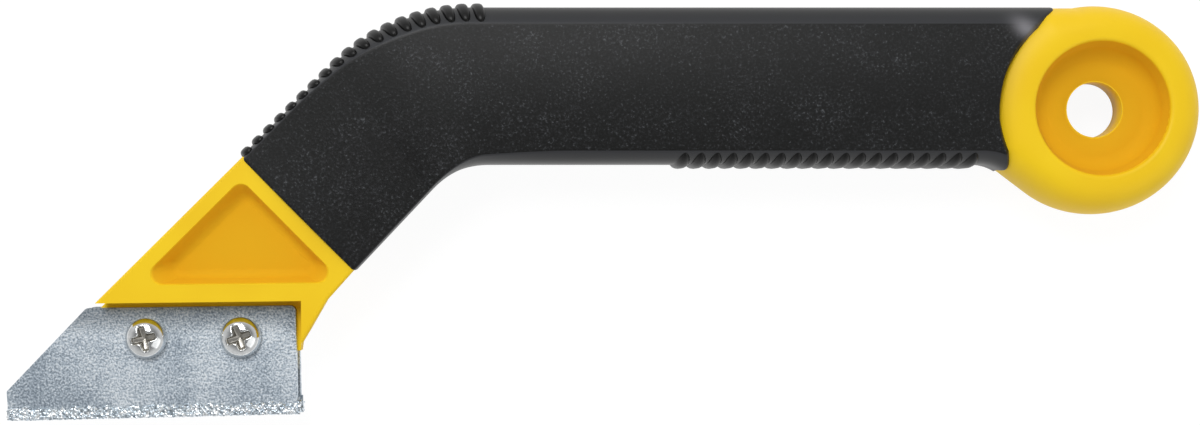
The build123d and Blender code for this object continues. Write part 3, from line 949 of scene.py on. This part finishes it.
def bright_plate():
    """Nickel-bright zinc plate on the screws and nuts: mirror-like, with a slight haze, rougher
    where the cross is pressed in, and darker there by painted shade."""
    made, tree, shader, place = new_material("bright_plated_steel")
    # Haze in patches of about 1 mm
    haze = add(tree, "ShaderNodeTexNoise", {"Vector": place, "Scale": 900.0, "Detail": 3.0})
    rough = add(tree, "ShaderNodeMapRange", {
        "Value": haze.outputs["Fac"], "To Min": 0.08, "To Max": 0.2,
    })
    shade = add(tree, "ShaderNodeValToRGB", {"Fac": haze.outputs["Fac"]}, [
        (0.3, colour("#d9dbdc")), (0.7, colour("#eef0f0")),
    ])
    pressed = add(tree, "ShaderNodeAttribute", attribute_name="pressed").outputs["Fac"]
    # Painted shade: the pressed cross is coloured darker
    tone = add(tree, "ShaderNodeMix", {
        "Factor": pressed, colour_a: shade.outputs["Color"], colour_b: colour("#a9a69f"),
    }, data_type="RGBA")
    muted = add(tree, "ShaderNodeMix", {
        "Factor": pressed, number_a: rough.outputs["Result"], number_b: 0.32,
    })
    feed(tree, shader, {
        "Base Color": tone.outputs[mixed_colour], "Roughness": muted.outputs[mixed_number],
        "Metallic": 1.0,
    })
    return made


# Camera, floor and light

def make_camera():
    """Looks straight down on the tool; the axis meets it a little above the picture's middle."""
    data = bpy.data.cameras.new("camera")
    data.lens = 50
    data.sensor_width = 36
    data.shift_y = -axis_rise / picture_width
    camera = bpy.data.objects.new("camera", data)
    camera.location = in_frame(np.array(camera_place))
    bpy.context.scene.collection.objects.link(camera)
    bpy.context.scene.camera = camera


def make_floor():
    """White floor just under the tool. It shows white to the camera and in reflections, and keeps
    the tool's shadow."""
    material = bpy.data.materials.new("white_floor")
    tree = clear_tree(material)
    paint = add(tree, "ShaderNodeBsdfDiffuse", {"Color": grey(0.8)})
    faint = add(tree, "ShaderNodeBsdfDiffuse", {"Color": grey(0.12)})
    glow = add(tree, "ShaderNodeEmission", {"Strength": 0.93})
    both = add(tree, "ShaderNodeAddShader", {0: faint.outputs[0], 1: glow.outputs[0]})
    rays = add(tree, "ShaderNodeLightPath")
    seen = add(tree, "ShaderNodeMath", {
        0: rays.outputs["Is Camera Ray"], 1: rays.outputs["Is Glossy Ray"],
    }, operation="MAXIMUM")
    choice = add(tree, "ShaderNodeMixShader", {
        0: seen.outputs[0], 1: paint.outputs[0], 2: both.outputs[0],
    })
    add(tree, "ShaderNodeOutputMaterial", {"Surface": choice.outputs[0]})
    corners = [(x * floor_side, y * floor_side, floor_level) for x, y in (
        (-1, -1), (1, -1), (1, 1), (-1, 1),
    )]
    floor = build_mesh("floor", np.array(corners), [np.array([[0, 1, 2, 3]])], smooth=False)
    floor.data.materials.append(material)


def make_light(name, place, size, power):
    """Square area lamp that points at the middle of the tool: place and size in metres, power in
    watts."""
    data = bpy.data.lights.new(name, "AREA")
    data.size = size
    data.energy = power
    lamp = bpy.data.objects.new(name, data)
    lamp.location = place
    way = np.array(place)
    lamp.rotation_euler = (
        math.atan2(math.hypot(way[0], way[1]), way[2]), 0, math.atan2(way[1], way[0]) + math.pi / 2,
    )
    bpy.context.scene.collection.objects.link(lamp)


def make_world():
    """White surroundings that are dimmer overhead, as in a light tent with the camera's opening on
    top. The camera itself sees plain white."""
    world = bpy.data.worlds.new("white_studio")
    bpy.context.scene.world = world
    tree = clear_tree(world)
    way = add(tree, "ShaderNodeTexCoord").outputs["Generated"]
    rise = add(tree, "ShaderNodeSeparateXYZ", {"Vector": way})
    level = add(tree, "ShaderNodeMapRange", {
        "Value": rise.outputs["Z"], "From Min": 0.35, "From Max": 0.9,
    }, interpolation_type="SMOOTHSTEP")
    rays = add(tree, "ShaderNodeLightPath")
    # Levels near the horizon and overhead, each as light on the tool and as seen in its gloss
    for socket, lit, mirrored in (("To Min", 0.864, 0.656), ("To Max", 0.2, 0.24)):
        shown = add(tree, "ShaderNodeMapRange", {
            "Value": rays.outputs["Is Glossy Ray"], "To Min": lit, "To Max": mirrored,
        })
        tree.links.new(shown.outputs["Result"], level.inputs[socket])
    seen = add(tree, "ShaderNodeMix", {
        "Factor": rays.outputs["Is Camera Ray"], number_a: level.outputs["Result"], number_b: 1.0,
    })
    glow = add(tree, "ShaderNodeBackground", {
        "Color": grey(1.0), "Strength": seen.outputs[mixed_number],
    })
    add(tree, "ShaderNodeOutputWorld", {"Surface": glow.outputs[0]})


make_camera()
make_floor()
make_world()
make_light("key", place=(-0.2, 0.48, 0.8), size=0.45, power=5.2)
make_light("fill", place=(0.6, -0.4, 0.8), size=0.8, power=1.6)
bpy.context.scene.view_settings.view_transform = "Standard"

yellow = moulded_yellow()
rubber = spark_rubber()
steel = zinc_steel()
carbide = brazed_grit()
plate = bright_plate()

for node, material in (
    ("handle_body", yellow), ("front_blade", steel), ("rear_blade", steel),
    ("toe_nut", plate), ("heel_nut", plate),
):
    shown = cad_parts[node]
    shown.data.materials.clear()
    shown.data.materials.append(material)

make_ring(yellow)
make_grip(rubber)
make_ribs(rubber)
make_grit("front_edge_grit", "front_grit", side=1, seed=11, material=carbide)
make_grit("rear_edge_grit", "rear_grit", side=-1, seed=23, material=carbide)
make_screw("toe_screw_bright", "toe_screw", math.radians(14), plate)
make_screw("heel_screw_bright", "heel_screw", math.radians(20), plate)
